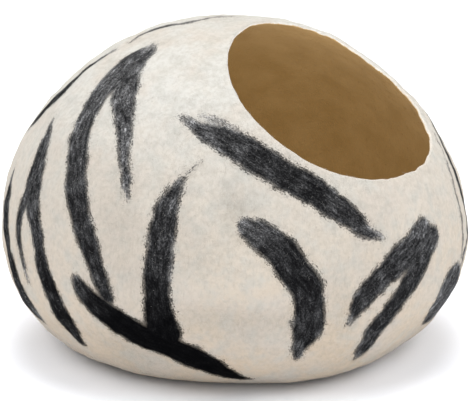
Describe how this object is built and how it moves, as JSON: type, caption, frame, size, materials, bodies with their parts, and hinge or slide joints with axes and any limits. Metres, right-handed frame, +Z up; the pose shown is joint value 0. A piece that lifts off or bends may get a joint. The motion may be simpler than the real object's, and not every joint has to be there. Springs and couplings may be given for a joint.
{
  "type": "felt cat cave",
  "caption": "Seamless wool felt cat cave: a rounded hollow pebble with a round tilted mouth in its upper front, tabby stripes outside, brown inside, and a flat foot.",
  "frame": {"origin": "on the floor, under the middle of the cave's outer box", "axes": "+Z up; the mouth is in the upper front, looking along -Y and upwards"},
  "size_m": [0.4608, 0.45, 0.3177],
  "materials": {
    "wool_cream": "thick wet-felted wool, matt, mottled and softly hairy",
    "wool_charcoal": "charcoal wool wisps felted into the cream layer",
    "wool_camel": "camel wool, the inner layer of the same felt"
  },
  "bodies": {
    "root": {"felt_shell": "wool_cream"}
  },
  "joints": []
}
